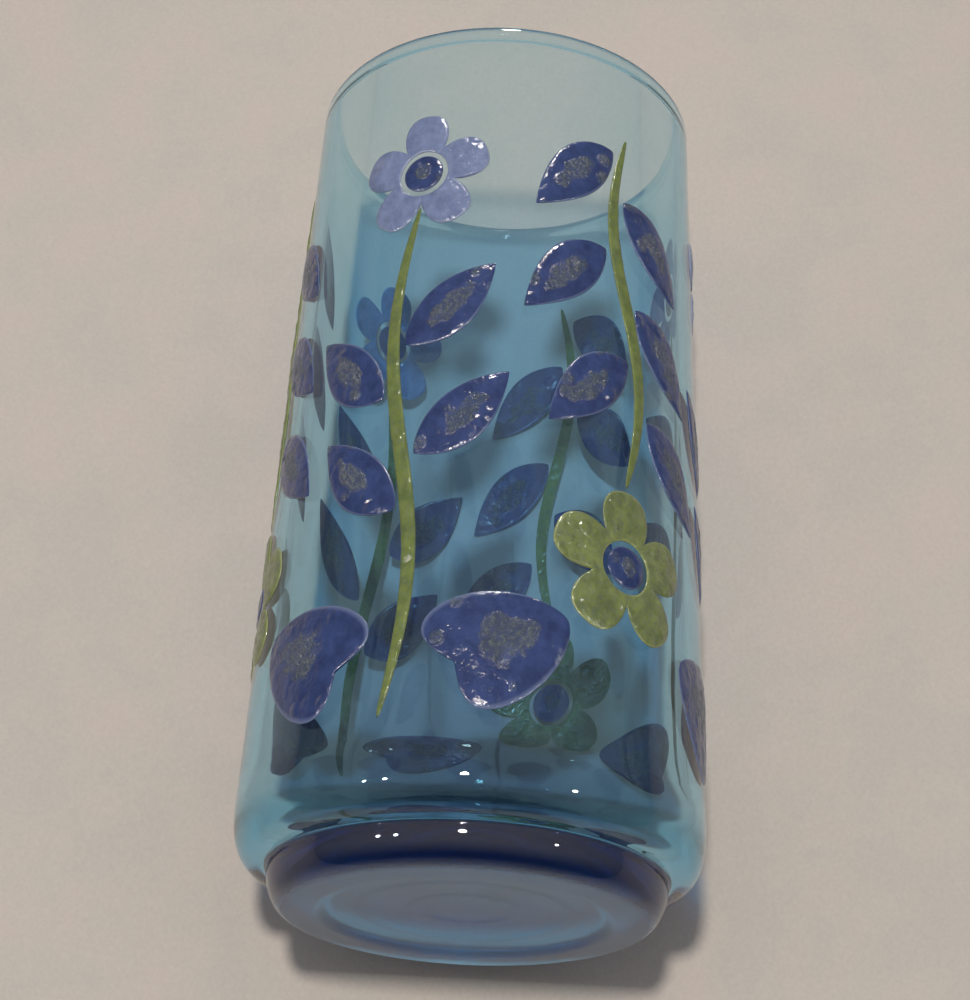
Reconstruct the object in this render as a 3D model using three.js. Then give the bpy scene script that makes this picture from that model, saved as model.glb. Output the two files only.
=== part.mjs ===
// A juice glass of blue soda glass: a tall, faintly tapered wall on a stepped heel, with a fire-polished lip and a
// recessed base. Raised enamel is fired onto the wall as a row of flower sprigs, upright and pendant in turn.
// Lengths are millimetres, +Z is up, and the origin is the centre of the ring that the glass stands on.
import * as THREE from "three";
import { ParametricGeometry } from "three/addons/geometries/ParametricGeometry.js";

// Glass: overall sizes
const HEIGHT = 128;
const RIM_RADIUS = 29;
const RIM_WALL = 1.9;
const SHOULDER_RADIUS = 32.4;
const SHOULDER_HEIGHT = 12.5;
const SHOULDER_WALL = 2.3;

// Glass: lip, a fire-polished bead that swells inwards
const LIP_BEAD = 0.4;
const LIP_HEIGHT = 2.6;

// Glass: heel, which steps in below the shoulder and rounds down to the bearing ring
const HEEL_RADIUS = 27.4;
const HEEL_HEIGHT = 5.6;
const HEEL_TAPER = 3.1;
const HEEL_EDGE = 2;
const HEEL_FILLET = 0.7;

// Glass: underside, a bearing ring that slopes up into a domed recess with mould rings
const BEARING_WIDTH = 3.4;
const RECESS_SLOPE = 3.2;
const RECESS_DEPTH = 0.9;
const RECESS_DOME = 0.7;
const MOULD_RINGS = 2;
const MOULD_RING_PITCH = 7;
const MOULD_RING_WIDTH = 3;
const MOULD_RING_DEPTH = 0.12;

// Glass: inside floor
const FLOOR_HEIGHT = 7.6;
const FLOOR_DISH = 0.4;
const FLOOR_CORNER = 7.8;

// Enamel: how it lies on the wall
const ENAMEL_SEAT = 0.12;
const ENAMEL_CROWN = 0.45;
const BARE_BELOW_RIM = 16;
const BARE_ABOVE_SHOULDER = 5;

// Enamel print: drawn flat at this size, then fitted round the wall between its two bare bands
const PRINT_WIDTH = 188;
const PRINT_HEIGHT = 92;
const SPRIG_PAIRS = 3;
const PIECE_GAP = 0.7;

// Enamel print: stems
const STEM_WIDTH = 2.1;
const STEM_SWAY = 2.4;
const PENDANT_FOOT = 13;

// Enamel print: slim leaves, and the heights at which they leave a stem, left and right in turn
const LEAF_LENGTH = 17;
const LEAF_WIDTH = 8;
const LEAF_CURL = 2.2;
const LEAF_PITCH = THREE.MathUtils.degToRad(38);
const UPRIGHT_LEAVES = [29, 37, 46, 54];
const PENDANT_LEAVES = [89, 81, 72, 64, 55, 47];

// Enamel print: heart leaves in pairs
const HEART_LENGTH = 15.5;
const HEART_WIDTH = 16;
const HEART_NOTCH = 3.6;
const HEART_CURL = -1.5;
const HEART_PITCH = THREE.MathUtils.degToRad(34);
const HEART_ROOT = 7;

// Enamel print: flowers
const PETALS = 5;
const PETAL_CLEFT = 0.5;
const PETAL_ROOT_FULLNESS = 0.4;
const CENTRE_RADIUS = 3;
const LILAC_RADIUS = 10;
const GREEN_RADIUS = 11;

// Smoothness of the round shapes
const GLASS_SEGMENTS = 60;
const GLASS_ARC_STEPS = 4;
const PATCH_SLICES = 8;
const BROAD_SLICES = 16;
const STEM_STACKS = 14;
const BLADE_STACKS = 7;
const BROAD_STACKS = 8;
const PETAL_STACKS = 6;

const BLUE = 0x3b4a80;
const LILAC = 0x7483b8;
const GREEN = 0x8a9440;
const OLIVE = 0x77823f;

const glass = new THREE.Group();

function addPiece(name, geometry, material) {
  const mesh = new THREE.Mesh(geometry, material);
  mesh.name = name;
  glass.add(mesh);
}

// Outside radius of the straight wall at a height.
function wallRadius(z) {
  const share = (z - SHOULDER_HEIGHT) / (HEIGHT - SHOULDER_HEIGHT);
  return THREE.MathUtils.lerp(SHOULDER_RADIUS, RIM_RADIUS, share);
}

// The underside: from the axis over the mould rings to the bearing ring, at height 0.
function drawUnderside(section, bearingInner) {
  const recessEdge = bearingInner - RECESS_SLOPE;
  const ceiling = (r) => RECESS_DEPTH + RECESS_DOME * (1 - (r / recessEdge) ** 2);
  section.moveTo(0, ceiling(0));
  for (let ring = 1; ring <= MOULD_RINGS; ring++) {
    const crest = ring * MOULD_RING_PITCH;
    const flank = MOULD_RING_WIDTH / 2;
    section.lineTo(crest - flank, ceiling(crest - flank));
    section.lineTo(crest, ceiling(crest) - MOULD_RING_DEPTH);
    section.lineTo(crest + flank, ceiling(crest + flank));
  }
  section.lineTo(recessEdge, RECESS_DEPTH);
  const slope = recessEdge + RECESS_SLOPE / 2;
  section.bezierCurveTo(slope, RECESS_DEPTH, slope, 0, bearingInner, 0);
}

// The half section of the glass, from the underside's centre round the lip to the inside floor's centre.
function glassProfile() {
  const heelTop = HEEL_HEIGHT - HEEL_FILLET;
  const bearingOuter = HEEL_RADIUS - HEEL_TAPER;
  const lip = (RIM_WALL + LIP_BEAD) / 2;
  const bore = RIM_RADIUS - RIM_WALL;
  const inside = SHOULDER_RADIUS - SHOULDER_WALL;
  const section = new THREE.Path();

  drawUnderside(section, bearingOuter - BEARING_WIDTH);
  section.lineTo(bearingOuter, 0);
  section.bezierCurveTo(bearingOuter + HEEL_EDGE, 0, HEEL_RADIUS, heelTop - HEEL_EDGE, HEEL_RADIUS, heelTop);
  section.quadraticCurveTo(HEEL_RADIUS, HEEL_HEIGHT, HEEL_RADIUS + HEEL_FILLET, HEEL_HEIGHT);
  section.bezierCurveTo(
    SHOULDER_RADIUS - HEEL_FILLET, HEEL_HEIGHT,
    SHOULDER_RADIUS, (HEEL_HEIGHT + SHOULDER_HEIGHT) / 2,
    SHOULDER_RADIUS, SHOULDER_HEIGHT,
  );
  section.lineTo(RIM_RADIUS, HEIGHT - lip);
  section.absarc(RIM_RADIUS - lip, HEIGHT - lip, lip, 0, Math.PI, false);
  const swell = HEIGHT - (lip + LIP_HEIGHT) / 2;
  section.bezierCurveTo(bore - LIP_BEAD, swell, bore, swell, bore, HEIGHT - LIP_HEIGHT);
  section.lineTo(inside, FLOOR_HEIGHT + FLOOR_CORNER);
  section.quadraticCurveTo(inside, FLOOR_HEIGHT, inside - FLOOR_CORNER, FLOOR_HEIGHT);
  section.lineTo(0, FLOOR_HEIGHT - FLOOR_DISH);
  return section.getPoints(GLASS_ARC_STEPS);
}

function makeGlassBody() {
  const body = new THREE.LatheGeometry(glassProfile(), GLASS_SEGMENTS);
  body.rotateX(Math.PI / 2);
  addPiece("glass_body", body, new THREE.MeshStandardMaterial({
    color: 0x5f9dbb, roughness: 0.04, metalness: 0, transparent: true, opacity: 0.45, side: THREE.DoubleSide,
  }));
}

// Carries a point of the flat print, x across and y up, onto the wall, and lifts it off the wall.
function onWall(x, y, lift, target) {
  const bottom = SHOULDER_HEIGHT + BARE_ABOVE_SHOULDER;
  const z = bottom + (y / PRINT_HEIGHT) * (HEIGHT - BARE_BELOW_RIM - bottom);
  const bearing = (x / PRINT_WIDTH) * 2 * Math.PI;
  target.setFromCylindricalCoords(wallRadius(z) + ENAMEL_SEAT + lift, bearing, z);
  target.set(target.z, target.x, target.y);
}

// A raised patch of enamel along a spine, flat below and domed above. spineAt(t) gives the spine's point, its heading,
// its half width and how full the dome is, from 0 to 1; setBack moves the patch's edges back along the heading.
function addEnamel(name, color, slices, stacks, spineAt) {
  const geometry = new ParametricGeometry((u, t, target) => {
    const spine = spineAt(t);
    const turn = 2 * Math.PI * u;
    const across = spine.halfWidth * Math.cos(turn);
    const back = (spine.setBack ?? 0) * Math.abs(Math.cos(turn));
    const x = spine.x - across * Math.sin(spine.heading) - back * Math.cos(spine.heading);
    const y = spine.y + across * Math.cos(spine.heading) - back * Math.sin(spine.heading);
    onWall(x, y, ENAMEL_CROWN * spine.fullness * Math.max(0, Math.sin(turn)), target);
  }, slices, stacks);
  addPiece(name, geometry, new THREE.MeshStandardMaterial({ color, roughness: 0.35, metalness: 0 }));
}

// The x of a swaying stem at a height of the print.
function stemX(stem, y) {
  return stem.x + STEM_SWAY * Math.sin((2 * Math.PI * (y - stem.low)) / (stem.high - stem.low));
}

function makeStem(name, stem) {
  addEnamel(name, OLIVE, PATCH_SLICES, STEM_STACKS, (t) => {
    const y = THREE.MathUtils.lerp(stem.low, stem.high, t);
    const slope = (STEM_SWAY * 2 * Math.PI * Math.cos(2 * Math.PI * t)) / (stem.high - stem.low);
    const fullness = Math.sin(Math.PI * t) ** 0.4;
    return { x: stemX(stem, y), y, heading: Math.atan2(1, slope), halfWidth: (STEM_WIDTH / 2) * fullness, fullness };
  });
}

// The spine of a leaf that grows from a root along a heading and curls to one side, closely stepped at both its ends.
function bladeSpine(root, heading, length, curl, width, round, notch) {
  return (step) => {
    const t = (1 - Math.cos(Math.PI * step)) / 2;
    const off = curl * t * t;
    const fullness = Math.sin(Math.PI * t ** round) ** round;
    return {
      x: root.x + t * length * Math.cos(heading) - off * Math.sin(heading),
      y: root.y + t * length * Math.sin(heading) + off * Math.cos(heading),
      heading,
      halfWidth: (width / 2) * fullness,
      setBack: notch * (1 - t) ** 2 * fullness,
      fullness,
    };
  };
}

// Where a leaf leaves a stem, clear of the stem's edge. side is -1 on the left and 1 on the right.
function rootOn(stem, y, side, clear) {
  return { x: stemX(stem, y) + side * (STEM_WIDTH / 2 + clear), y };
}

// turn is 1 for leaves that rise and -1 for leaves that hang.
function makeLeaf(name, stem, y, side, turn) {
  const heading = Math.PI / 2 - side * (Math.PI / 2 - turn * LEAF_PITCH);
  const root = rootOn(stem, y, side, PIECE_GAP);
  const spine = bladeSpine(root, heading, LEAF_LENGTH, side * turn * LEAF_CURL, LEAF_WIDTH, 0.85, 0);
  addEnamel(name, BLUE, PATCH_SLICES, BLADE_STACKS, spine);
}

function makeHeart(name, stem, side) {
  const heading = Math.PI / 2 - side * (Math.PI / 2 - HEART_PITCH);
  const root = rootOn(stem, HEART_ROOT, side, PIECE_GAP + HEART_NOTCH + STEM_SWAY);
  const spine = bladeSpine(root, heading, HEART_LENGTH, side * HEART_CURL, HEART_WIDTH, 0.6, HEART_NOTCH);
  addEnamel(name, BLUE, BROAD_SLICES, BROAD_STACKS, spine);
}

// A flower of broad petals, cleft between them, around an open centre that holds a disc.
function makeFlower(name, x, y, radius, color) {
  const hole = CENTRE_RADIUS + PIECE_GAP;
  addEnamel(`${name}_petals`, color, PATCH_SLICES, PETALS * PETAL_STACKS, (t) => {
    const lobe = Math.abs(Math.cos(PETALS * Math.PI * t));
    const edge = radius * (1 - PETAL_CLEFT * (1 - lobe) ** 1.5);
    const middle = (hole + edge) / 2;
    const angle = Math.PI / 2 - 2 * Math.PI * t;
    return {
      x: x + middle * Math.cos(angle),
      y: y + middle * Math.sin(angle),
      heading: angle - Math.PI / 2,
      halfWidth: (edge - hole) / 2,
      fullness: THREE.MathUtils.lerp(PETAL_ROOT_FULLNESS, 1, lobe),
    };
  });
  addEnamel(`${name}_centre`, BLUE, PATCH_SLICES, BLADE_STACKS, (t) => {
    const fullness = Math.sin(Math.PI * t);
    return {
      x: x - CENTRE_RADIUS * Math.cos(Math.PI * t), y, heading: 0, halfWidth: CENTRE_RADIUS * fullness, fullness,
    };
  });
}

// A sprig that stands up from a pair of heart leaves to a lilac flower.
function makeUprightSprig(number, x) {
  const flowerHeight = PRINT_HEIGHT - LILAC_RADIUS;
  const stem = { x, low: 0, high: flowerHeight - LILAC_RADIUS * (1 - PETAL_CLEFT) - PIECE_GAP };
  makeStem(`upright_stem_${number}`, stem);
  makeHeart(`heart_leaf_left_${number}`, stem, -1);
  makeHeart(`heart_leaf_right_${number}`, stem, 1);
  UPRIGHT_LEAVES.forEach((y, i) => makeLeaf(`upright_leaf_${number}_${i + 1}`, stem, y, i % 2 ? 1 : -1, 1));
  makeFlower(`lilac_flower_${number}`, x, flowerHeight, LILAC_RADIUS, LILAC);
}

// A sprig that hangs down to a green flower.
function makePendantSprig(number, x) {
  const flowerHeight = PENDANT_FOOT + GREEN_RADIUS;
  const stem = { x, low: flowerHeight + GREEN_RADIUS + PIECE_GAP, high: PRINT_HEIGHT };
  makeStem(`pendant_stem_${number}`, stem);
  PENDANT_LEAVES.forEach((y, i) => makeLeaf(`pendant_leaf_${number}_${i + 1}`, stem, y, i % 2 ? 1 : -1, -1));
  makeFlower(`green_flower_${number}`, x, flowerHeight, GREEN_RADIUS, GREEN);
}

makeGlassBody();
const pairPitch = PRINT_WIDTH / SPRIG_PAIRS;
for (let pair = 0; pair < SPRIG_PAIRS; pair++) {
  makeUprightSprig(pair + 1, pair * pairPitch);
  makePendantSprig(pair + 1, (pair + 0.5) * pairPitch);
}

export default glass;
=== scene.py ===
# %% [markdown]
# A blue juice glass with raised enamel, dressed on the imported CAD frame. The real glass is one body from a
# mould, and its flowers and leaves are thick enamel, laid on and fired. Both follow a rule, so Geometry
# Nodes make them: one tree turns the glass from its half section, as a lathe would, and another carries
# each flat motif onto the tapered wall. Sizes are written in millimetres and turned to metres with MM.

import math

import bmesh
import bpy
from mathutils import Matrix, Vector


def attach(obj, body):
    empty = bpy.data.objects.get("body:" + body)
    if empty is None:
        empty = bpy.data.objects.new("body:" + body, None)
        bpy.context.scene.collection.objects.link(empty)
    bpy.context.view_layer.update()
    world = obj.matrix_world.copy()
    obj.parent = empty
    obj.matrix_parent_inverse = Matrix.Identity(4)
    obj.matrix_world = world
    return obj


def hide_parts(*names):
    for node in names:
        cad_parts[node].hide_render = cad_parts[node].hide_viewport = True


MM = 0.001
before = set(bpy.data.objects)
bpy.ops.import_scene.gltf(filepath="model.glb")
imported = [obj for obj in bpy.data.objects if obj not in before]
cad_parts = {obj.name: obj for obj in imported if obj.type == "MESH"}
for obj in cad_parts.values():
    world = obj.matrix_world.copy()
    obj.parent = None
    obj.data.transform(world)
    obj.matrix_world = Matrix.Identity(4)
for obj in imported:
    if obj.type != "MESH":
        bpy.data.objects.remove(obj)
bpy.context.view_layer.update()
scene = bpy.context.scene
scene.view_settings.view_transform = "Standard"

# %% [markdown]
# The wall narrows a little from the shoulder to the lip, the heel steps in below the shoulder, and the
# underside is recessed, so the glass stands on a ring. These are the CAD model's sizes, apart from
# LIP_HEIGHT: the bead inside the lip runs out more gently here, because a steep flank mirrors the light
# inside the glass and draws a black line.

# %% Sizes of the glass
HEIGHT = 128
RIM_RADIUS, RIM_WALL, LIP_BEAD, LIP_HEIGHT = 29, 1.9, 0.4, 3.0
SHOULDER_RADIUS, SHOULDER_HEIGHT, SHOULDER_WALL = 32.4, 12.5, 2.3
HEEL_RADIUS, HEEL_HEIGHT, HEEL_TAPER, HEEL_EDGE, HEEL_FILLET = 27.4, 5.6, 3.1, 2, 0.7
BEARING_WIDTH, RECESS_SLOPE, RECESS_DEPTH, RECESS_DOME = 3.4, 3.2, 0.9, 0.7
MOULD_RINGS, MOULD_RING_PITCH, MOULD_RING_WIDTH, MOULD_RING_DEPTH = 2, 7, 3, 0.12
FLOOR_HEIGHT, FLOOR_DISH, FLOOR_CORNER = 7.6, 0.4, 7.8
LIP_ROUND = (RIM_WALL + LIP_BEAD) / 2
WALL_LEAN = math.atan2(SHOULDER_RADIUS - RIM_RADIUS, HEIGHT - SHOULDER_HEIGHT)
print("the wall leans in by", round(math.degrees(WALL_LEAN), 2), "degrees")

# %% [markdown]
# Node trees can be wired by hand in Blender's editors. In code, small helpers keep a tree readable as a
# list of steps. `node` adds one node and fills its sockets with values or links, and the others are the
# uses of it that come up most: `maths` for one operation, `span` to map a range, `noise` for a cloudy
# pattern and `blend` to mix two colours.


# %% Node helpers
def fill(tree, socket, value):
    if isinstance(value, bpy.types.NodeSocket):
        tree.links.new(value, socket)
    else:
        socket.default_value = value


def node(tree, kind, settings=None, **sockets):
    """Adds a node. A socket is given by its name, with _ for spaces, or by i and its number."""
    made = tree.nodes.new(kind)
    for name, value in (settings or {}).items():
        setattr(made, name, value)
    for name, value in sockets.items():
        numbered = name[0] == "i" and name[1:].isdigit()
        fill(tree, made.inputs[int(name[1:]) if numbered else name.replace("_", " ")], value)
    return made


def maths(tree, operation, *values):
    made = node(tree, "ShaderNodeMath", {"operation": operation})
    for socket, value in zip(made.inputs, values):
        fill(tree, socket, value)
    return made.outputs[0]


def span(tree, value, start, stop, low=0.0, high=1.0, **settings):
    """Maps start to low and stop to high, and holds still beyond both unless clamp is off."""
    ends = {"From_Min": start, "From_Max": stop, "To_Min": low, "To_Max": high}
    return node(tree, "ShaderNodeMapRange", settings, Value=value, **ends).outputs[0]


def noise(tree, place, scale, detail, **sockets):
    return node(tree, "ShaderNodeTexNoise", Vector=place, Scale=scale, Detail=detail, **sockets).outputs[0]


def blend(tree, share, first, second):
    """Mixes two colours, each a socket or three numbers."""
    first, second = (c if isinstance(c, bpy.types.NodeSocket) else (*c, 1) for c in (first, second))
    return node(tree, "ShaderNodeMix", {"data_type": "RGBA"}, i0=share, i6=first, i7=second).outputs[2]


print("wired: node, maths, span, noise, blend")

# %% [markdown]
# Each Geometry Nodes tree has named inputs for its sizes, and ends in Realize Instances and Set Material,
# so that the result is real mesh with its finish. The modifier could stay live on the object, but an export
# wants plain meshes, so `grow` evaluates the tree once, keeps what it made at the origin, and turns all
# faces outwards.

# %% Trees and plain meshes
WELD = 1e-6


def start_group(name, inputs):
    """A tree with named inputs, each given as its kind and its default."""
    tree = bpy.data.node_groups.new(name, "GeometryNodeTree")
    for way in ("OUTPUT", "INPUT"):
        tree.interface.new_socket("Geometry", in_out=way, socket_type="NodeSocketGeometry")
    for label, (kind, value) in inputs.items():
        socket = tree.interface.new_socket(label, in_out="INPUT", socket_type="NodeSocket" + kind)
        if value is not None:
            socket.default_value = value
    return tree, tree.nodes.new("NodeGroupInput").outputs


def end_group(tree, geometry, place, material):
    """Moves the points to their place, welds the seams, smooths the faces and gives them their finish."""
    moved = node(tree, "GeometryNodeSetPosition", Geometry=geometry, Position=place)
    closed = node(tree, "GeometryNodeMergeByDistance", Geometry=moved.outputs[0], Distance=WELD)
    smooth = node(tree, "GeometryNodeSetShadeSmooth", Geometry=closed.outputs[0])
    whole = node(tree, "GeometryNodeRealizeInstances", Geometry=smooth.outputs[0])
    painted = node(tree, "GeometryNodeSetMaterial", Geometry=whole.outputs[0], Material=material)
    tree.links.new(painted.outputs[0], tree.nodes.new("NodeGroupOutput").inputs[0])
    print(tree.name, "tree:", len(tree.nodes), "nodes")
    return tree


def grow(name, mesh, tree, **settings):
    piece = bpy.data.objects.new(name, mesh)
    scene.collection.objects.link(piece)
    modifier = piece.modifiers.new("Shape", "NODES")
    modifier.node_group = tree
    sockets = {s.name: s.identifier for s in tree.interface.items_tree if s.in_out == "INPUT"}
    for label, value in settings.items():
        modifier[sockets[label]] = value
    depsgraph = bpy.context.evaluated_depsgraph_get()
    made = bpy.data.meshes.new_from_object(piece.evaluated_get(depsgraph), depsgraph=depsgraph)
    piece.modifiers.clear()
    piece.data = made
    made.name = name
    shell = bmesh.new()
    shell.from_mesh(made)
    bmesh.ops.recalc_face_normals(shell, faces=shell.faces)
    shell.to_mesh(made)
    shell.free()
    return piece


print("seams closer than", WELD, "m are welded")

# %% [markdown]
# A turned body is known by half of its section. The line runs from the centre of the underside, over two
# soft mould rings and the bearing ring, up the heel, shoulder and wall, over the round lip and down to the
# centre of the inside floor. It could be drawn as a curve by hand. Bezier arcs between the named sizes keep
# it true when a size changes.

# %% Half section: the underside
STEPS = {"recess": 72, "slope": 14, "bearing": 3, "heel": 24, "fillet": 10, "shoulder": 20, "wall": 40}
STEPS |= {"lip": 16, "bead": 14, "corner": 18, "floor": 16}


def recess():
    """The domed underside with its mould rings, from the axis to the edge of the recess."""
    edge = HEEL_RADIUS - HEEL_TAPER - BEARING_WIDTH - RECESS_SLOPE
    line = []
    for i in range(STEPS["recess"] + 1):
        r = edge * i / STEPS["recess"]
        z = RECESS_DEPTH + RECESS_DOME * (1 - (r / edge) ** 2)
        for ring in range(1, MOULD_RINGS + 1):
            off = (r - ring * MOULD_RING_PITCH) / MOULD_RING_WIDTH
            if abs(off) < 0.5:
                z -= MOULD_RING_DEPTH * math.cos(math.pi * off) ** 2
        line.append(Vector((r, z)))
    return line


section = recess()
print("recess:", len(section), "points")


# %% Half section: outside and inside
def run_on(line, part, *controls):
    """Carries the line on from its last point by a Bezier curve over these control points."""
    knots = [line[-1], *map(Vector, controls)]
    for i in range(1, STEPS[part] + 1):
        level = knots
        while len(level) > 1:
            level = [a.lerp(b, i / STEPS[part]) for a, b in zip(level, level[1:])]
        line.append(level[0])


def outside(line):
    ring_outer = HEEL_RADIUS - HEEL_TAPER
    ring_inner = ring_outer - BEARING_WIDTH
    slope = ring_inner - RECESS_SLOPE / 2
    heel_top = HEEL_HEIGHT - HEEL_FILLET
    heel_flank = (HEEL_RADIUS, heel_top - HEEL_EDGE)
    half_way = (HEEL_HEIGHT + SHOULDER_HEIGHT) / 2
    shelf = (SHOULDER_RADIUS - HEEL_FILLET, HEEL_HEIGHT)
    run_on(line, "slope", (slope, RECESS_DEPTH), (slope, 0), (ring_inner, 0))
    run_on(line, "bearing", (ring_outer, 0))
    run_on(line, "heel", (ring_outer + HEEL_EDGE, 0), heel_flank, (HEEL_RADIUS, heel_top))
    run_on(line, "fillet", (HEEL_RADIUS, HEEL_HEIGHT), (HEEL_RADIUS + HEEL_FILLET, HEEL_HEIGHT))
    run_on(line, "shoulder", shelf, (SHOULDER_RADIUS, half_way), (SHOULDER_RADIUS, SHOULDER_HEIGHT))
    run_on(line, "wall", (RIM_RADIUS, HEIGHT - LIP_ROUND))


def inside(line):
    bore, foot = RIM_RADIUS - RIM_WALL, SHOULDER_RADIUS - SHOULDER_WALL
    centre = Vector((RIM_RADIUS - LIP_ROUND, HEIGHT - LIP_ROUND))
    for i in range(1, STEPS["lip"] + 1):
        turn = math.pi * i / STEPS["lip"]
        line.append(centre + LIP_ROUND * Vector((math.cos(turn), math.sin(turn))))
    swell = HEIGHT - (LIP_ROUND + LIP_HEIGHT) / 2
    run_on(line, "bead", (bore - LIP_BEAD, swell), (bore, swell), (bore, HEIGHT - LIP_HEIGHT))
    run_on(line, "wall", (foot, FLOOR_HEIGHT + FLOOR_CORNER))
    run_on(line, "corner", (foot, FLOOR_HEIGHT), (foot - FLOOR_CORNER, FLOOR_HEIGHT))
    run_on(line, "floor", (0, FLOOR_HEIGHT - FLOOR_DISH))


outside(section)
inside(section)
print("half section:", len(section), "points")

# %% [markdown]
# Blender's Screw modifier could turn the section. A tree does the same with its steps in sight: it lays a
# grid with one row for each point of the section and one column for each step around the axis, reads the
# section's point by row, and turns it by the column's angle. The seam and the two poles are welded.

# %% Lathe tree
SEGMENTS = 192


def lathe_tree():
    tree, given = start_group("Lathe", {"Segments": ("Int", SEGMENTS), "Material": ("Material", None)})
    rows = node(tree, "GeometryNodeAttributeDomainSize", Geometry=given["Geometry"]).outputs["Point Count"]
    columns = maths(tree, "ADD", given["Segments"], 1)
    grid = node(tree, "GeometryNodeMeshGrid", Vertices_X=rows, Vertices_Y=columns)
    index = node(tree, "GeometryNodeInputIndex").outputs[0]
    row = maths(tree, "FLOOR", maths(tree, "DIVIDE", maths(tree, "ADD", index, 0.5), columns))
    column = maths(tree, "SUBTRACT", index, maths(tree, "MULTIPLY", row, columns))
    angle = maths(tree, "MULTIPLY", maths(tree, "DIVIDE", column, given["Segments"]), 2 * math.pi)
    place = node(tree, "GeometryNodeInputPosition").outputs[0]
    sample = node(tree, "GeometryNodeSampleIndex", {"data_type": "FLOAT_VECTOR"}, Index=row, Value=place)
    fill(tree, sample.inputs["Geometry"], given["Geometry"])
    point = node(tree, "ShaderNodeSeparateXYZ", Vector=sample.outputs[0]).outputs
    x = maths(tree, "MULTIPLY", point["X"], maths(tree, "COSINE", angle))
    y = maths(tree, "MULTIPLY", point["X"], maths(tree, "SINE", angle))
    turned = node(tree, "ShaderNodeCombineXYZ", X=x, Y=y, Z=point["Z"]).outputs[0]
    return end_group(tree, grid.outputs["Mesh"], turned, given["Material"])


lathe = lathe_tree()

# %% [markdown]
# The glass takes its blue from absorption along the way through it, so one wall is pale aqua and the thick
# base deep blue, where a coloured surface would be the same blue all over. The underside is stippled by its
# mould and worn by tables, and the heel is faintly scuffed. Real glass focuses light, which takes very many
# samples to render. So for lamps and soft light the glass is a tinted film instead, which passes much light
# at the wall and little at the base.

# %% Glass values
GLASS_TINT, TINT_DENSITY, REFRACTION = (0.01, 0.67, 0.88, 1), 175.0, 1.5
STIPPLE_TOP, STIPPLE_FULL, STIPPLE_EDGE, STIPPLE_INSIDE = 2.4, 1.8, 26.2, 24.8
STIPPLE_ROUGHNESS, STIPPLE_WEAR = 0.35, 0.12
SCUFFS_BOTTOM, SCUFFS_FULL_FROM, SCUFFS_FULL_TO, SCUFFS_TOP, SCUFFS_WEAR = 1.5, 3.0, 5.5, 6.5, 0.024
SCUFFS_SCALE, SCUFFS_DETAIL, SCUFFS_GRAIN = 700.0, 6.0, 0.7
RIPPLE_SCALE, RIPPLE_DETAIL, RIPPLE_STRENGTH, RIPPLE_DEPTH = 55.0, 1.5, 0.05, 0.001
HAZE_SCALE, HAZE_DETAIL, HAZE_FROM, HAZE_FULL, HAZE_ROUGHNESS = 160.0, 3.0, 0.45, 0.8, 0.035
BASE_PASSES, LIP_PASSES = (0.11, 0.13, 0.17, 1), (0.74, 0.76, 0.8, 1)
PASSES_BY_HEIGHT = (
    (0.08, BASE_PASSES),
    (0.12, (0.67, 0.66, 0.75, 1)),
    (0.45, (0.94, 0.93, 0.99, 1)),
    (0.976, (1, 0.97, 1, 1)),
    (0.985, LIP_PASSES),
)


def empty_material(name):
    material = bpy.data.materials.new(name)
    material.use_nodes = True
    material.node_tree.nodes.clear()
    return material, material.node_tree


one_wall = [math.exp((c - 1) * TINT_DENSITY * RIM_WALL * MM) for c in GLASS_TINT[:3]]
print("one wall passes red, green, blue:", [round(share, 2) for share in one_wall])


# %% Glass material
def worn_places(tree, place, at):
    """How far a place is on the stippled underside and on the scuffed heel, each from 0 to about 1."""
    squares = [maths(tree, "MULTIPLY", at[axis], at[axis]) for axis in "XY"]
    radius = maths(tree, "SQRT", maths(tree, "ADD", *squares))
    low = span(tree, at["Z"], STIPPLE_TOP * MM, STIPPLE_FULL * MM)
    under = maths(tree, "MULTIPLY", low, span(tree, radius, STIPPLE_EDGE * MM, STIPPLE_INSIDE * MM))
    above = span(tree, at["Z"], SCUFFS_BOTTOM * MM, SCUFFS_FULL_FROM * MM)
    below = span(tree, at["Z"], SCUFFS_TOP * MM, SCUFFS_FULL_TO * MM)
    cloudy = noise(tree, place, SCUFFS_SCALE, SCUFFS_DETAIL, Roughness=SCUFFS_GRAIN)
    patchy = maths(tree, "ADD", cloudy, 0.5)
    return under, maths(tree, "MULTIPLY", maths(tree, "MULTIPLY", above, below), patchy)


def film_for_lamps(tree, height):
    passed = node(tree, "ShaderNodeValToRGB", Fac=span(tree, height, 0.0, HEIGHT * MM))
    stops = passed.color_ramp.elements
    stops[0].color, stops[1].color = BASE_PASSES, LIP_PASSES
    for share, colour in PASSES_BY_HEIGHT:
        stops.new(share).color = colour
    return node(tree, "ShaderNodeBsdfTransparent", Color=passed.outputs[0]).outputs[0]


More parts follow.
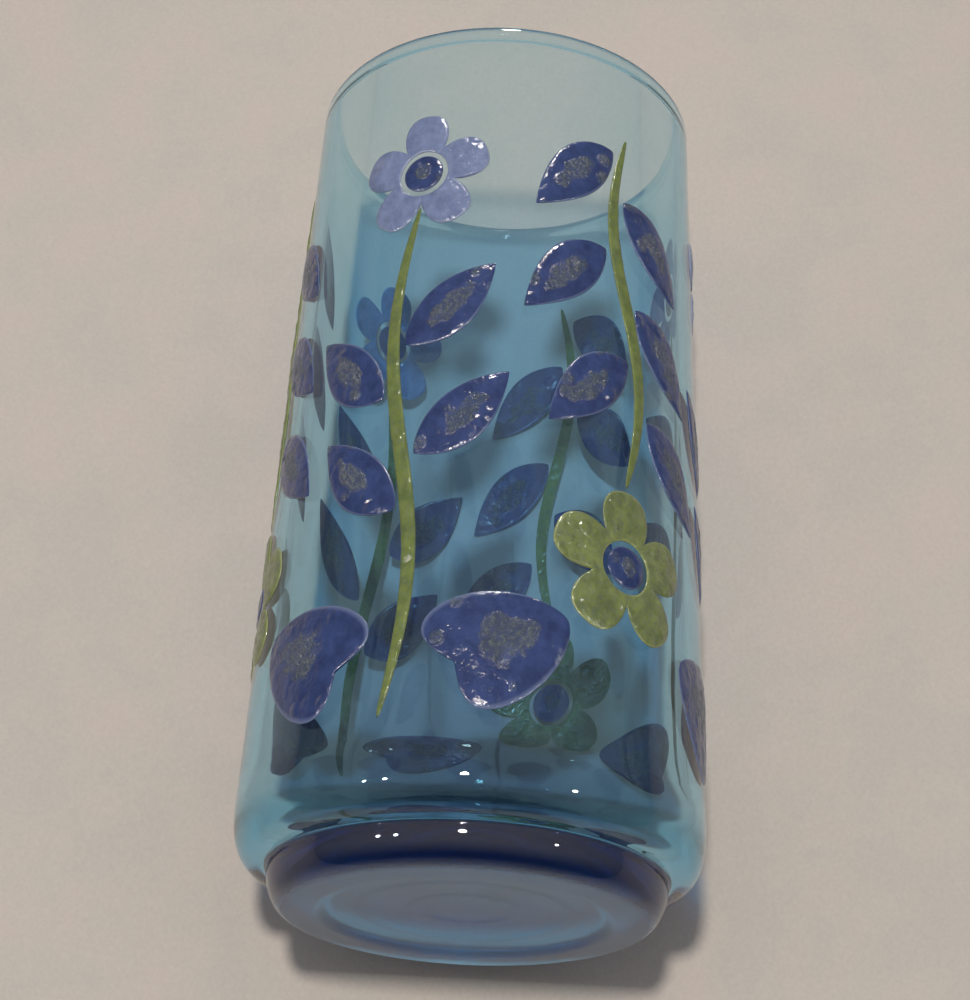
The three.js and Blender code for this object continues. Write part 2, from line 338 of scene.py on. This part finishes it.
def glass_material():
    material, tree = empty_material("blue_glass")
    place = node(tree, "ShaderNodeTexCoord").outputs["Object"]
    at = node(tree, "ShaderNodeSeparateXYZ", Vector=place).outputs
    waves = noise(tree, place, RIPPLE_SCALE, RIPPLE_DETAIL)
    ripple = node(tree, "ShaderNodeBump", Height=waves, Strength=RIPPLE_STRENGTH, Distance=RIPPLE_DEPTH)
    haze = span(tree, noise(tree, place, HAZE_SCALE, HAZE_DETAIL), HAZE_FROM, HAZE_FULL, high=HAZE_ROUGHNESS)
    under, scuffs = worn_places(tree, place, at)
    rough = maths(tree, "MAXIMUM", haze, maths(tree, "MULTIPLY", under, STIPPLE_ROUGHNESS))
    wear = [maths(tree, "MULTIPLY", *pair) for pair in ((scuffs, SCUFFS_WEAR), (under, STIPPLE_WEAR))]
    clear = node(tree, "ShaderNodeBsdfPrincipled", Roughness=rough, Normal=ripple.outputs[0], IOR=REFRACTION)
    fill(tree, clear.inputs["Base Color"], (1, 1, 1, 1))
    fill(tree, clear.inputs["Transmission Weight"], maths(tree, "SUBTRACT", 1.0, maths(tree, "ADD", *wear)))
    rays = node(tree, "ShaderNodeLightPath").outputs
    straight = maths(tree, "MAXIMUM", rays["Is Shadow Ray"], rays["Is Diffuse Ray"])
    film = film_for_lamps(tree, at["Z"])
    surface = node(tree, "ShaderNodeMixShader", i0=straight, i1=clear.outputs[0], i2=film)
    tint = node(tree, "ShaderNodeVolumeAbsorption", Color=GLASS_TINT, Density=TINT_DENSITY)
    node(tree, "ShaderNodeOutputMaterial", Surface=surface.outputs[0], Volume=tint.outputs[0])
    print(material.name, "has", len(tree.nodes), "nodes")
    return material


blue_glass = glass_material()

# %% [markdown]
# The section goes into the lathe tree as loose points, and the body that comes out takes the place of the
# CAD node.

# %% Glass body
outline = bpy.data.meshes.new("half_section")
outline.from_pydata([(p.x * MM, 0, p.y * MM) for p in section], [], [])
body = grow("juice_glass", outline, lathe, Segments=SEGMENTS, Material=blue_glass)
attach(body, "root")
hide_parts("glass_body")
print("glass:", len(body.data.polygons), "faces")

# %% [markdown]
# The enamel is laid out flat, 188 mm round and 92 mm high, as three pairs of sprigs, the way a printer
# would draw it. The motifs have the CAD model's sizes. There they lie just off the wall, so that no solids
# overlap. Here ENAMEL_SEAT sinks them into it by a hair, because fired enamel is one with its glass, and
# ENAMEL_CROWN is a little flatter.

# %% Sizes of the enamel
ENAMEL_SEAT, ENAMEL_CROWN = -0.04, 0.4
BARE_BELOW_RIM, BARE_ABOVE_SHOULDER = 16, 5
PRINT_WIDTH, PRINT_HEIGHT, SPRIG_PAIRS, PIECE_GAP = 188, 92, 3, 0.7
STEM_WIDTH, STEM_SWAY, STEM_ROUNDNESS, PENDANT_FOOT = 2.1, 2.4, 0.4, 13
LEAF_LENGTH, LEAF_WIDTH, LEAF_CURL, LEAF_ROUNDNESS = 17, 8, 2.2, 0.85
LEAF_PITCH, HEART_PITCH, HEART_ROOT = math.radians(38), math.radians(34), 7
UPRIGHT_LEAVES, PENDANT_LEAVES = (29, 37, 46, 54), (89, 81, 72, 64, 55, 47)
HEART_LENGTH, HEART_WIDTH, HEART_NOTCH, HEART_CURL, HEART_ROUNDNESS = 15.5, 16, 3.6, -1.5, 0.6
PETALS, PETAL_CLEFT, CLEFT_SHARPNESS, PETAL_ROOT_FULLNESS, CENTRE_RADIUS = 5, 0.5, 1.5, 0.4, 3
LILAC_RADIUS, GREEN_RADIUS = 10, 11
PEBBLE_SIZE, PEBBLE_SWELL = 1.6, 1.4
sprig_pitch = PRINT_WIDTH / SPRIG_PAIRS / 2
print("print:", PRINT_WIDTH, "by", PRINT_HEIGHT, "mm, a sprig every", round(sprig_pitch, 1), "mm")

# %% [markdown]
# Fired enamel settles unevenly, so the wrap tree first swells each flat patch with a slow noise. It then
# carries the patch onto the wall: across the print becomes an angle, up the print a height, and the lift a
# distance from the wall. A Shrinkwrap or Curve modifier would also bend it, but this keeps every motif at
# its true place and thickness.


# %% Wrap tree
def wrap_tree():
    lengths = {
        "Print width": PRINT_WIDTH,
        "Print height": PRINT_HEIGHT,
        "Band bottom": SHOULDER_HEIGHT + BARE_ABOVE_SHOULDER,
        "Band top": HEIGHT - BARE_BELOW_RIM,
        "Wall foot height": SHOULDER_HEIGHT,
        "Wall foot radius": SHOULDER_RADIUS,
        "Wall top height": HEIGHT,
        "Wall top radius": RIM_RADIUS,
        "Seat": ENAMEL_SEAT,
        "Pebble size": PEBBLE_SIZE,
    }
    inputs = {label: ("Float", length * MM) for label, length in lengths.items()}
    inputs |= {"Pebble swell": ("Float", PEBBLE_SWELL), "Seed": ("Float", 0.0)}
    inputs["Material"] = ("Material", None)
    tree, given = start_group("Fire onto wall", inputs)
    place = node(tree, "GeometryNodeInputPosition").outputs[0]
    flat = node(tree, "ShaderNodeSeparateXYZ", Vector=place).outputs
    scale = maths(tree, "DIVIDE", 1.0, given["Pebble size"])
    kind = {"noise_dimensions": "4D"}
    pebbles = node(tree, "ShaderNodeTexNoise", kind, Vector=place, W=given["Seed"], Scale=scale, Detail=2.0)
    swell = maths(tree, "MULTIPLY", maths(tree, "SUBTRACT", pebbles.outputs[0], 0.5), given["Pebble swell"])
    lift = maths(tree, "MULTIPLY", flat["Z"], maths(tree, "ADD", 1.0, swell))
    share = maths(tree, "DIVIDE", flat["Y"], given["Print height"])
    height = span(tree, share, 0.0, 1.0, given["Band bottom"], given["Band top"], clamp=False)
    ends = [given[f"Wall {end} {size}"] for size in ("height", "radius") for end in ("foot", "top")]
    wall = span(tree, height, *ends, clamp=False)
    radius = maths(tree, "ADD", maths(tree, "ADD", wall, given["Seat"]), lift)
    angle = maths(tree, "MULTIPLY", maths(tree, "DIVIDE", flat["X"], given["Print width"]), 2 * math.pi)
    x = maths(tree, "MULTIPLY", radius, maths(tree, "COSINE", angle))
    y = maths(tree, "MULTIPLY", radius, maths(tree, "SINE", angle))
    wrapped = node(tree, "ShaderNodeCombineXYZ", X=x, Y=y, Z=height).outputs[0]
    return end_group(tree, given["Geometry"], wrapped, given["Material"])


wrap = wrap_tree()

# %% [markdown]
# Each motif is a patch along a spine. Its section is flat below, and above it rises steeply from its edges
# to a broad top, as a thick drop does. An outline could be filled and bevelled instead, but a patch built
# along its spine has a UV map that runs across and along it, and so its finish knows where the edges are.

# %% Flat patches
UNDERSIDE_STEPS, TOP_BREADTH = 6, 4


def flat_patch(name, spine_at, across, stacks):
    turns = [math.pi * i / across for i in range(across + 1)]
    turns += [math.pi * (1 + i / UNDERSIDE_STEPS) for i in range(1, UNDERSIDE_STEPS)]
    count = len(turns)
    points, marks = [], []
    for k in range(stacks + 1):
        x0, y0, heading, half_width, fullness, set_back = spine_at(k / stacks)
        ahead = Vector((math.cos(heading), math.sin(heading)))
        for turn in turns:
            side = math.cos(turn)
            off, back = side * half_width, set_back * abs(side)
            top = math.sqrt(max(0.0, 1 - side**TOP_BREADTH)) if turn < math.pi else 0.0
            x = x0 - off * ahead.y - back * ahead.x
            y = y0 + off * ahead.x - back * ahead.y
            points.append((x * MM, y * MM, ENAMEL_CROWN * fullness * top * MM))
            marks.append((0.5 + 0.5 * side, k / stacks))
    faces = []
    for k in range(stacks):
        for j in range(count):
            a, b = k * count + j, k * count + (j + 1) % count
            faces.append((a, b, b + count, a + count))
    mesh = bpy.data.meshes.new(name)
    mesh.from_pydata(points, [], faces)
    layer = mesh.uv_layers.new(name="UVMap")
    for loop in mesh.loops:
        layer.data[loop.index].uv = marks[loop.vertex_index]
    return mesh


print("a patch is a strip of quads with", UNDERSIDE_STEPS, "steps below")

# %% [markdown]
# Enamel is ground glass and colour, melted on. It is glossy and uneven: its colour pools and thins, round
# blisters rise in it, its edge is paler, and where grains stayed whole it is gritty.
# One material builder does this for all colours. `blister` says how far the blisters rise, `patch` how
# gritty the middle and a few spots are, and `grain` how gritty a colour is all over. The fine relief is
# bump, because it is finer than the mesh.

# %% Enamel colours
GRIT = (0.125, 0.16, 0.155)
BLUE = {"deep": (0.02, 0.036, 0.125), "pale": (0.036, 0.062, 0.19), "edge": (0.19, 0.24, 0.4)}
LILAC = {"deep": (0.15, 0.19, 0.36), "pale": (0.23, 0.28, 0.48), "edge": (0.4, 0.45, 0.6)}
GREEN = {"deep": (0.125, 0.16, 0.035), "pale": (0.235, 0.28, 0.07), "edge": (0.4, 0.43, 0.18)}
OLIVE = {"deep": (0.11, 0.15, 0.03), "pale": (0.19, 0.24, 0.045), "edge": (0.36, 0.4, 0.14)}
ENAMELS = {
    "blue_enamel": {**BLUE, "blister": 0.8, "patch": 1.0, "grain": 0.0},
    "lilac_enamel": {**LILAC, "blister": 0.5, "patch": 0.0, "grain": 0.3},
    "green_enamel": {**GREEN, "blister": 1.0, "patch": 0.0, "grain": 0.55},
    "olive_enamel": {**OLIVE, "blister": 0.8, "patch": 0.0, "grain": 0.4},
}
print("enamels:", ", ".join(ENAMELS))

# %% Enamel relief
POOL_SCALE, POOL_DETAIL, POOL_GRAIN, POOL_DEEP, POOL_PALE = 420.0, 4.0, 0.6, 0.35, 0.65
CELL_SCALE, DOME_EDGE, DOME_TOP = 330.0, 0.42, 0.22
BLISTERS_FROM, BLISTERS_FULL, SPOTS_FROM, SPOTS_FULL = 0.45, 0.5, 0.66, 0.68
PATCH_STRETCH, PATCH_RAGGED, PATCH_EDGE, PATCH_FULL = 1.4, 0.8, 0.84, 0.74
# The outer part of each patch's width is mixed towards its paler edge colour.
PALE_EDGE_FROM, PALE_EDGE_SHARE = 0.9, 0.8
FINE_SCALE, FINE_DETAIL, FINE_RELIEF, GRAIN_RELIEF = 1500.0, 3.0, 0.35, 0.7
CRUMB_SCALE, CRUMB_DETAIL, CRUMB_GRAIN, CRUMB_FROM, CRUMB_FULL = 1400.0, 4.0, 0.65, 0.42, 0.7
CRUMB_RELIEF, DUST_LEAST, DUST_SPREAD = 1.2, 0.2, 0.7
RELIEF_STRENGTH, RELIEF_DEPTH = 0.8, 0.0003
GLOSS_FROM, GLOSS_TO, SMOOTHEST, ROUGHEST = 0.3, 0.7, 0.06, 0.22
print("blisters lie about", round(1 / CELL_SCALE / MM, 1), "mm apart")


# %% Enamel materials
def from_middle(tree, across):
    """Distance from the middle line of a patch, 0 to 1, for one direction of its UV map."""
    return maths(tree, "ABSOLUTE", maths(tree, "SUBTRACT", maths(tree, "MULTIPLY", across, 2.0), 1.0))


def enamel_marks(tree, place, marks, blister, patch):
    """Pooling, blisters, gritty places and pale edge of the enamel, each from 0 to 1."""
    pool = noise(tree, place, POOL_SCALE, POOL_DETAIL, Roughness=POOL_GRAIN)
    cells = node(tree, "ShaderNodeTexVoronoi", Vector=place, Scale=CELL_SCALE).outputs
    dome = span(tree, cells["Distance"], DOME_EDGE, DOME_TOP)
    risen = span(tree, cells["Color"], BLISTERS_FROM, BLISTERS_FULL, high=blister)
    blisters = maths(tree, "MULTIPLY", dome, risen)
    side = from_middle(tree, marks["X"])
    end = maths(tree, "MULTIPLY", from_middle(tree, marks["Y"]), PATCH_STRETCH)
    squares = [maths(tree, "MULTIPLY", way, way) for way in (side, end)]
    reach = maths(tree, "SQRT", maths(tree, "ADD", *squares))
    ragged = maths(tree, "ADD", reach, maths(tree, "MULTIPLY", pool, PATCH_RAGGED))
    spots = maths(tree, "MULTIPLY", dome, span(tree, cells["Color"], SPOTS_FROM, SPOTS_FULL, high=patch))
    gritty = maths(tree, "MAXIMUM", span(tree, ragged, PATCH_EDGE, PATCH_FULL, high=patch), spots)
    return pool, blisters, gritty, span(tree, side, PALE_EDGE_FROM, 1.0, high=PALE_EDGE_SHARE)


def enamel_material(name, deep, pale, edge, blister, patch, grain):
    material, tree = empty_material(name)
    coords = node(tree, "ShaderNodeTexCoord").outputs
    marks = node(tree, "ShaderNodeSeparateXYZ", Vector=coords["UV"]).outputs
    pool, blisters, gritty, pale_edge = enamel_marks(tree, coords["Object"], marks, blister, patch)
    fine = noise(tree, coords["Object"], FINE_SCALE, FINE_DETAIL)
    crumbly = noise(tree, coords["Object"], CRUMB_SCALE, CRUMB_DETAIL, Roughness=CRUMB_GRAIN)
    crumbs = span(tree, crumbly, CRUMB_FROM, CRUMB_FULL)
    speckle = maths(tree, "ADD", maths(tree, "MULTIPLY", crumbs, DUST_SPREAD), DUST_LEAST)
    dusted = maths(tree, "MULTIPLY", maths(tree, "MAXIMUM", gritty, grain), speckle)
    pooled = blend(tree, span(tree, pool, POOL_DEEP, POOL_PALE), deep, pale)
    colour = blend(tree, dusted, pooled, GRIT)
    grains = maths(tree, "ADD", pool, maths(tree, "MULTIPLY", fine, FINE_RELIEF + GRAIN_RELIEF * grain))
    rough = maths(tree, "MULTIPLY", maths(tree, "MULTIPLY", crumbs, gritty), CRUMB_RELIEF)
    relief = maths(tree, "ADD", grains, maths(tree, "ADD", blisters, rough))
    bump = node(tree, "ShaderNodeBump", Height=relief, Strength=RELIEF_STRENGTH, Distance=RELIEF_DEPTH)
    gloss = span(tree, fine, GLOSS_FROM, GLOSS_TO, SMOOTHEST, ROUGHEST)
    shader = node(tree, "ShaderNodeBsdfPrincipled", Roughness=gloss, Normal=bump.outputs[0])
    fill(tree, shader.inputs["Base Color"], blend(tree, pale_edge, colour, edge))
    node(tree, "ShaderNodeOutputMaterial", Surface=shader.outputs[0])
    return material


enamels = {slot: enamel_material(slot, **look) for slot, look in ENAMELS.items()}
print("enamel materials:", [len(m.node_tree.nodes) for m in enamels.values()], "nodes")

# %% [markdown]
# A stem sways once along its length. Leaves and hearts are blades that leave it left and right in turn,
# widest near the middle, with a notch at a heart's root. Each is a rule for its spine: place, heading, half
# width and fullness at each step. `fire` wraps the patch and puts it in place of its CAD node.

# %% Firing onto the wall
SEED_STEP = 1.7
fired = []


def fire(name, spine_at, slot, across, stacks):
    mesh = flat_patch(name + "_flat", spine_at, across, stacks)
    piece = grow("enamel_" + name, mesh, wrap, Seed=len(fired) * SEED_STEP, Material=enamels[slot])
    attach(piece, "root")
    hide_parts(name)
    fired.append(piece)


print("each motif goes through the tree:", wrap.name)

# %% Stems
STEM_MESH = (10, 170)


def stem_x(stem, y):
    x, low, high = stem
    return x + STEM_SWAY * math.sin(2 * math.pi * (y - low) / (high - low))


def fire_stem(name, stem):
    x, low, high = stem

    def spine_at(t):
        y = low + t * (high - low)
        slope = STEM_SWAY * 2 * math.pi * math.cos(2 * math.pi * t) / (high - low)
        fullness = math.sin(math.pi * t) ** STEM_ROUNDNESS if 0 < t < 1 else 0.0
        return stem_x(stem, y), y, math.atan2(1, slope), STEM_WIDTH / 2 * fullness, fullness, 0.0

    fire(name, spine_at, "olive_enamel", *STEM_MESH)


print("stems sway by", STEM_SWAY, "mm to each side")

# %% Leaves and hearts
LEAF_MESH, HEART_MESH = (18, 44), (32, 48)


def blade(root, heading, length, curl, width, roundness, notch):
    def spine_at(step):
        t = (1 - math.cos(math.pi * step)) / 2
        off = curl * t * t
        fullness = math.sin(math.pi * t**roundness) ** roundness if 0 < step < 1 else 0.0
        x = root[0] + t * length * math.cos(heading) - off * math.sin(heading)
        y = root[1] + t * length * math.sin(heading) + off * math.cos(heading)
        return x, y, heading, width / 2 * fullness, fullness**0.5, notch * (1 - t) ** 2 * fullness

    return spine_at


def fire_leaf(name, stem, y, side, turn):
    heading = math.pi / 2 - side * (math.pi / 2 - turn * LEAF_PITCH)
    root = (stem_x(stem, y) + side * (STEM_WIDTH / 2 + PIECE_GAP), y)
    shape = (side * turn * LEAF_CURL, LEAF_WIDTH, LEAF_ROUNDNESS, 0)
    spine_at = blade(root, heading, LEAF_LENGTH, *shape)
    fire(name, spine_at, "blue_enamel", *LEAF_MESH)


def fire_heart(name, stem, side):
    heading = math.pi / 2 - side * (math.pi / 2 - HEART_PITCH)
    clear = STEM_WIDTH / 2 + PIECE_GAP + HEART_NOTCH + STEM_SWAY
    root = (stem_x(stem, HEART_ROOT) + side * clear, HEART_ROOT)
    shape = (side * HEART_CURL, HEART_WIDTH, HEART_ROUNDNESS, HEART_NOTCH)
    spine_at = blade(root, heading, HEART_LENGTH, *shape)
    fire(name, spine_at, "blue_enamel", *HEART_MESH)


print("leaves:", len(UPRIGHT_LEAVES), "on an upright stem and", len(PENDANT_LEAVES), "on a pendant one")

# %% [markdown]
# A flower is a ring of five broad petals around an open middle, which holds a round disc. The petals touch,
# so they are one deposit of enamel: its spine runs once round the middle, and its width swells and shrinks
# with the lobes.

# %% Flowers
PETAL_MESH, CENTRE_MESH = (20, PETALS * 36), (18, 24)


def fire_flower(name, x, y, radius, slot):
    hole = CENTRE_RADIUS + PIECE_GAP

    def petals_at(t):
        lobe = abs(math.cos(PETALS * math.pi * t))
        edge = radius * (1 - PETAL_CLEFT * (1 - lobe) ** CLEFT_SHARPNESS)
        middle, angle = (hole + edge) / 2, math.pi / 2 - 2 * math.pi * t
        fullness = PETAL_ROOT_FULLNESS + (1 - PETAL_ROOT_FULLNESS) * lobe**0.5
        px, py = x + middle * math.cos(angle), y + middle * math.sin(angle)
        return px, py, angle - math.pi / 2, (edge - hole) / 2, fullness, 0.0

    def disc_at(t):
        fullness = math.sin(math.pi * t) if 0 < t < 1 else 0.0
        return x - CENTRE_RADIUS * math.cos(math.pi * t), y, 0.0, CENTRE_RADIUS * fullness, fullness**0.5, 0.0

    fire(name + "_petals", petals_at, slot, *PETAL_MESH)
    fire(name + "_centre", disc_at, "blue_enamel", *CENTRE_MESH)


print("flowers:", PETALS, "petals around a disc", 2 * CENTRE_RADIUS, "mm across")

# %% [markdown]
# Three upright sprigs with lilac flowers alternate with three pendant sprigs with yellow-green flowers.
# Every deposit is a piece of its own, so a loop fires them one by one round the glass.


# %% Sprigs round the glass
def fire_upright(number, x):
    flower_y = PRINT_HEIGHT - LILAC_RADIUS
    stem = (x, 0, flower_y - LILAC_RADIUS * (1 - PETAL_CLEFT) - PIECE_GAP)
    fire_stem(f"upright_stem_{number}", stem)
    fire_heart(f"heart_leaf_left_{number}", stem, -1)
    fire_heart(f"heart_leaf_right_{number}", stem, 1)
    for i, y in enumerate(UPRIGHT_LEAVES):
        fire_leaf(f"upright_leaf_{number}_{i + 1}", stem, y, 1 if i % 2 else -1, 1)
    fire_flower(f"lilac_flower_{number}", x, flower_y, LILAC_RADIUS, "lilac_enamel")


def fire_pendant(number, x):
    flower_y = PENDANT_FOOT + GREEN_RADIUS
    stem = (x, flower_y + GREEN_RADIUS + PIECE_GAP, PRINT_HEIGHT)
    fire_stem(f"pendant_stem_{number}", stem)
    for i, y in enumerate(PENDANT_LEAVES):
        fire_leaf(f"pendant_leaf_{number}_{i + 1}", stem, y, 1 if i % 2 else -1, -1)
    fire_flower(f"green_flower_{number}", x, flower_y, GREEN_RADIUS, "green_enamel")


for pair in range(SPRIG_PAIRS):
    fire_upright(pair + 1, pair * PRINT_WIDTH / SPRIG_PAIRS)
    fire_pendant(pair + 1, (pair + 0.5) * PRINT_WIDTH / SPRIG_PAIRS)
print("enamel pieces:", len(fired), "faces:", sum(len(p.data.polygons) for p in fired))

# %% [markdown]
# In the photograph the glass lies on a pale cloth and the camera looks down at it from beyond its base.
# Here the glass stands, as the part does, so the cloth is a plane along its far side, leaning with the
# wall. It shows only its front and lets light from the lamps through, so that views from behind are neither
# blocked nor dark.

# %% Cloth material
FACING = math.radians(262.85)
CLOTH_COOL, CLOTH_WARM = (0.575, 0.53, 0.475), (0.615, 0.54, 0.485)
CLOTH_GAP, CLOTH_HALF_WIDTH = 0.3, 600
CLOTH_ROUGHNESS, CLOTH_BUMP, CLOTH_DEPTH = 0.9, 0.3, 0.002
THREAD_SCALE, THREAD_DETAIL, THREAD_GRAIN = 1500.0, 3.0, 0.7
THREAD_DARK, THREAD_LIGHT, THREAD_RELIEF = 0.93, 1.07, 0.08
MOTTLE_SCALE, MOTTLE_DETAIL, MOTTLE_GRAIN = 60.0, 4.0, 0.6
FOLD_SCALE, FOLD_DETAIL, FOLD_RELIEF = 16.0, 2.0, 6.0
towards = Vector((math.cos(FACING), math.sin(FACING), 0))
rightward = Vector((-towards.y, towards.x, 0))
mouthward = Vector((0, 0, 1))


def cloth_material():
    material, tree = empty_material("pale_cloth")
    place = node(tree, "ShaderNodeTexCoord").outputs["Object"]
    threads = noise(tree, place, THREAD_SCALE, THREAD_DETAIL, Roughness=THREAD_GRAIN)
    mottle = noise(tree, place, MOTTLE_SCALE, MOTTLE_DETAIL, Roughness=MOTTLE_GRAIN)
    dyed = blend(tree, span(tree, mottle, 0.4, 0.6), CLOTH_COOL, CLOTH_WARM)
    shade = span(tree, threads, 0.2, 0.8, THREAD_DARK, THREAD_LIGHT)
    tone = node(tree, "ShaderNodeVectorMath", {"operation": "SCALE"}, i0=dyed, Scale=shade).outputs[0]
    folds = maths(tree, "MULTIPLY", noise(tree, place, FOLD_SCALE, FOLD_DETAIL), FOLD_RELIEF)
    relief = maths(tree, "ADD", folds, maths(tree, "MULTIPLY", threads, THREAD_RELIEF))
    bump = node(tree, "ShaderNodeBump", Height=relief, Strength=CLOTH_BUMP, Distance=CLOTH_DEPTH)
    front = node(tree, "ShaderNodeBsdfPrincipled", Roughness=CLOTH_ROUGHNESS, Normal=bump.outputs[0])
    fill(tree, front.inputs["Base Color"], tone)
    back = node(tree, "ShaderNodeNewGeometry").outputs["Backfacing"]
    passing = maths(tree, "MAXIMUM", back, node(tree, "ShaderNodeLightPath").outputs["Is Shadow Ray"])
    away = node(tree, "ShaderNodeBsdfTransparent").outputs[0]
    sided = node(tree, "ShaderNodeMixShader", i0=passing, i1=front.outputs[0], i2=away)
    node(tree, "ShaderNodeOutputMaterial", Surface=sided.outputs[0])
    return material


print("the camera's side of the glass is", [round(v, 3) for v in towards])

# %% Cloth
normal = (towards * math.cos(WALL_LEAN) - mouthward * math.sin(WALL_LEAN)).normalized()
along = normal.cross(rightward).normalized()
contact = mouthward * SHOULDER_HEIGHT - towards * (SHOULDER_RADIUS + CLOTH_GAP)
ways = ((-1, -1), (1, -1), (1, 1), (-1, 1))
corners = [(contact + (rightward * a + along * b) * CLOTH_HALF_WIDTH) * MM for a, b in ways]
cloth_mesh = bpy.data.meshes.new("cloth")
cloth_mesh.from_pydata(corners, [], [(0, 1, 2, 3)])
if cloth_mesh.polygons[0].normal.dot(normal) < 0:
    cloth_mesh.flip_normals()
cloth_mesh.materials.append(cloth_material())
cloth = bpy.data.objects.new("cloth", cloth_mesh)
scene.collection.objects.link(cloth)
print("cloth:", 2 * CLOTH_HALF_WIDTH, "mm square")

# %% [markdown]
# A room lights the glass from all round: brighter from above the cloth, dimmer from beyond the base. Its
# light could come from lamps alone, but glass shows what is around it, so the world is shaded by direction.
# What the camera sees past the cloth, itself or through the glass, is a plain pale background.

# %% Room light
ROOM_LOW, ROOM_HIGH, ROOM_BEYOND_BASE = (0.15, 0.16, 0.18), (0.42, 0.42, 0.43), (0.07, 0.072, 0.085)
BACKGROUND = (0.55, 0.5, 0.46)
world = bpy.data.worlds.new("room")
scene.world = world
world.use_nodes = True
world.cycles.sampling_method = "NONE"
room = world.node_tree
room.nodes.clear()
direction = node(room, "ShaderNodeTexCoord").outputs["Generated"]


def facing(way, start, stop):
    """How far the light's direction turns to this way, eased from 0 to 1."""
    dot = node(room, "ShaderNodeVectorMath", {"operation": "DOT_PRODUCT"}, i0=direction, i1=way)
    return span(room, dot.outputs["Value"], start, stop, interpolation_type="SMOOTHSTEP")


overhead = blend(room, facing(towards, start=-0.2, stop=1.0), ROOM_LOW, ROOM_HIGH)
glow = blend(room, facing(mouthward, start=-0.2, stop=-0.8), overhead, ROOM_BEYOND_BASE)
path = node(room, "ShaderNodeLightPath").outputs
seen = maths(room, "MAXIMUM", path["Is Camera Ray"], path["Is Transmission Ray"])
sky = node(room, "ShaderNodeBackground", Color=blend(room, seen, glow, BACKGROUND), Strength=1.0)
node(room, "ShaderNodeOutputWorld", Surface=sky.outputs[0])
print("room:", len(room.nodes), "nodes")

# %% [markdown]
# A small key lamp high above the cloth, a little to the left, gives the shadow on the cloth and the
# highlights on the enamel, and a broad lamp behind the cloth lights the far side. Four little lamps only
# leave glints: three on the shoulder and heel, as the lamps of a room do, and one on the lip. One big soft
# lamp would light the glass as well, but glass shows a lamp's shape, and the photograph shows small points.
# The settings after the watts say which rays don't see a lamp.

# %% Lamps
LAMP_COLOUR = (1.0, 0.96, 0.9)


def lamp(name, right, up, out, size, watts, **sight):
    """An area lamp at so many metres right, towards the mouth and out from the glass, aimed at its middle."""
    light = bpy.data.lights.new(name, "AREA")
    light.shape = "DISK"
    light.size = size
    light.energy = watts
    light.color = LAMP_COLOUR
    made = bpy.data.objects.new(name, light)
    scene.collection.objects.link(made)
    aim = mouthward * HEIGHT * MM / 2
    made.location = aim + rightward * right + mouthward * up + towards * out
    made.rotation_euler = (aim - made.location).to_track_quat("-Z", "Y").to_euler()
    for rays, shown in sight.items():
        setattr(made, "visible_" + rays, shown)
    print(name, "lamp:", watts, "W at", [round(v, 2) for v in made.location])


lamp("key", right=-0.048, up=-0.045, out=0.75, size=0.055, watts=3.4)
lamp("fill_behind", right=0.0, up=0.0, out=-0.75, size=0.4, watts=2.0, glossy=False, transmission=False)
lamp("glint_far_left", right=-0.465, up=-0.097, out=0.39, size=0.02, watts=0.8, diffuse=False)
lamp("glint_left", right=-0.385, up=-0.097, out=0.465, size=0.02, watts=0.8, diffuse=False)
lamp("glint_right", right=0.45, up=-0.097, out=0.41, size=0.022, watts=0.9, diffuse=False)
lamp("glint_lip", right=0.0, up=0.49, out=0.29, size=0.07, watts=2.0, diffuse=False, transmission=False)

# %% [markdown]
# The camera stands where the photographer's did: its place, turn and focal length were fitted to the
# outline of the lip, wall, shoulder and base in the photograph, which is 1000 pixels high.

# %% Camera
CAMERA_AT = Vector((-36.24, -288.97, -77.74)) * MM
CAMERA_RIGHT = Vector((0.98818, -0.145898, 0.047052))
CAMERA_DOWN = Vector((0.105613, 0.425465, -0.898791))
CAMERA_AHEAD = Vector((0.111113, 0.893137, 0.435845))
FOCAL_PIXELS, IMAGE_HEIGHT, SENSOR, NEAREST = 2187.2, 1000, 36, 10
lens = bpy.data.cameras.new("camera")
lens.sensor_width = SENSOR
lens.lens = FOCAL_PIXELS / IMAGE_HEIGHT * SENSOR
lens.clip_start = NEAREST * MM
camera = bpy.data.objects.new("camera", lens)
scene.collection.objects.link(camera)
turn = Matrix((CAMERA_RIGHT, -CAMERA_DOWN, -CAMERA_AHEAD)).transposed()
camera.matrix_world = Matrix.Translation(CAMERA_AT) @ turn.to_4x4()
scene.camera = camera
print("camera:", round(CAMERA_AT.length, 3), "m from the foot of the glass, lens", round(lens.lens, 1), "mm")
